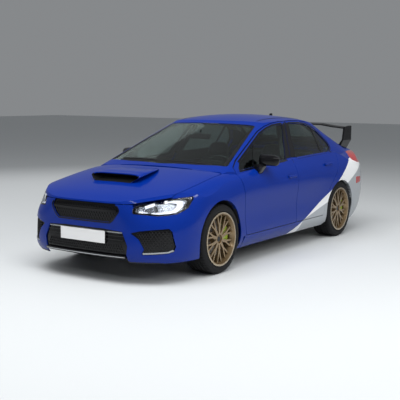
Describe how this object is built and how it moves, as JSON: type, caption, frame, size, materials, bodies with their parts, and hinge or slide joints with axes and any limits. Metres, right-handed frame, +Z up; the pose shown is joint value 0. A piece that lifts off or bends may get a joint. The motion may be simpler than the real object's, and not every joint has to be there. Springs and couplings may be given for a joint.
{
  "type": "rally saloon car",
  "caption": "Blue four-door rally saloon with bonnet scoop, high rear wing, bronze forked-spoke wheels, opening doors, bonnet and boot, and steered front wheels.",
  "frame": {"origin": "middle of the bounding box on the ground", "axes": "-Y towards the nose, +X towards the car's left, +Z up"},
  "size_m": [2.0438, 4.5802, 1.4489],
  "materials": {
    "blue_paint": "gloss pearl blue",
    "tinted_glass": "green tint",
    "tyre": "matte",
    "bronze_wheel": "satin bronze",
    "clear_lens": "clear",
    "red_lens": "gloss red",
    "seat_cloth": "woven",
    "alloy": "cast",
    "steel": "satin",
    "bright_steel": "polished",
    "white_plate": "blank white",
    "wheel_leather": "smooth",
    "gloss_black": "gloss black",
    "black_plastic": "grained"
  },
  "bodies": {
    "body": {"body_shell": "blue_paint", "fender_left": "blue_paint", "fender_right": "blue_paint", "front_bumper": "blue_paint", "front_lip": "gloss_black", "grilles": "gloss_black", "headlamp_lenses": "clear_lens", "headlamp_housings": "black_plastic", "rear_bumper": "blue_paint", "tail_lamps": "red_lens", "windscreen": "tinted_glass", "rear_window": "tinted_glass", "side_skirts": "blue_paint", "dashboard": "black_plastic", "front_seats": "seat_cloth", "rear_seat": "seat_cloth", "engine_block": "alloy", "gearbox": "alloy", "front_subframe": "steel", "rear_suspension": "steel", "exhaust": "bright_steel", "rear_diffuser": "black_plastic", "wipers": "black_plastic", "antenna_fin": "gloss_black", "front_plate": "white_plate"},
    "bonnet": {"bonnet": "blue_paint", "bonnet_scoop": "blue_paint"},
    "boot_lid": {"boot_lid": "blue_paint", "boot_lamps": "red_lens", "rear_wing": "gloss_black"},
    "door_front_left": {"door_front_left": "blue_paint", "glass_front_left": "tinted_glass", "mirror_left": "gloss_black"},
    "door_front_right": {"door_front_right": "blue_paint", "glass_front_right": "tinted_glass", "mirror_right": "gloss_black"},
    "door_rear_left": {"door_rear_left": "blue_paint", "glass_rear_left": "tinted_glass"},
    "door_rear_right": {"door_rear_right": "blue_paint", "glass_rear_right": "tinted_glass"},
    "steering_wheel": {"steering_wheel": "wheel_leather"},
    "knuckle_left": {"knuckle_left": "steel"},
    "knuckle_right": {"knuckle_right": "steel"},
    "wheel_front_left": {"tyre_front_left": "tyre", "wheel_front_left": "bronze_wheel"},
    "wheel_front_right": {"tyre_front_right": "tyre", "wheel_front_right": "bronze_wheel"},
    "wheel_rear_left": {"tyre_rear_left": "tyre", "wheel_rear_left": "bronze_wheel"},
    "wheel_rear_right": {"tyre_rear_right": "tyre", "wheel_rear_right": "bronze_wheel"}
  },
  "joints": [
    {"name": "steer_left", "type": "hinge", "parent": "body", "child": "knuckle_left", "pos_m": [0.716, -1.3375, 0.2], "axis": [-0.2274, 0, 0.9738], "range_deg": [-32, 32]},
    {"name": "steer_right", "type": "hinge", "parent": "body", "child": "knuckle_right", "pos_m": [-0.716, -1.3375, 0.2], "axis": [0.2274, 0, 0.9738], "range_deg": [-32, 32]},
    {"name": "steering_column", "type": "hinge", "parent": "body", "child": "steering_wheel", "pos_m": [0.365, -0.492, 0.868], "axis": [0, 0.9061, 0.423], "range_deg": [-420, 420]},
    {"name": "spin_front_left", "type": "hinge", "parent": "knuckle_left", "child": "wheel_front_left", "pos_m": [0.765, -1.3375, 0.327], "axis": [1, 0, 0], "continuous": true},
    {"name": "spin_front_right", "type": "hinge", "parent": "knuckle_right", "child": "wheel_front_right", "pos_m": [-0.765, -1.3375, 0.327], "axis": [1, 0, 0], "continuous": true},
    {"name": "spin_rear_left", "type": "hinge", "parent": "body", "child": "wheel_rear_left", "pos_m": [0.765, 1.3125, 0.327], "axis": [1, 0, 0], "continuous": true},
    {"name": "spin_rear_right", "type": "hinge", "parent": "body", "child": "wheel_rear_right", "pos_m": [-0.765, 1.3125, 0.327], "axis": [1, 0, 0], "continuous": true},
    {"name": "door_front_left_hinge", "type": "hinge", "parent": "body", "child": "door_front_left", "pos_m": [0.88, -0.9, 0.6], "axis": [0, 0, -1], "range_deg": [0, 65]},
    {"name": "door_front_right_hinge", "type": "hinge", "parent": "body", "child": "door_front_right", "pos_m": [-0.88, -0.9, 0.6], "axis": [0, 0, 1], "range_deg": [0, 65]},
    {"name": "door_rear_left_hinge", "type": "hinge", "parent": "body", "child": "door_rear_left", "pos_m": [0.88, 0.262, 0.6], "axis": [0, 0, -1], "range_deg": [0, 65]},
    {"name": "door_rear_right_hinge", "type": "hinge", "parent": "body", "child": "door_rear_right", "pos_m": [-0.88, 0.262, 0.6], "axis": [0, 0, 1], "range_deg": [0, 65]},
    {"name": "bonnet_hinge", "type": "hinge", "parent": "body", "child": "bonnet", "pos_m": [0, -1.108, 0.945], "axis": [-1, 0, 0], "range_deg": [0, 55]},
    {"name": "boot_hinge", "type": "hinge", "parent": "body", "child": "boot_lid", "pos_m": [0, 1.56, 0.99], "axis": [1, 0, 0], "range_deg": [0, 65]}
  ],
  "couplings": [
    {"joint": "steer_right", "follows": "steer_left", "ratio": 1},
    {"joint": "steering_column", "follows": "steer_left", "ratio": 13}
  ]
}
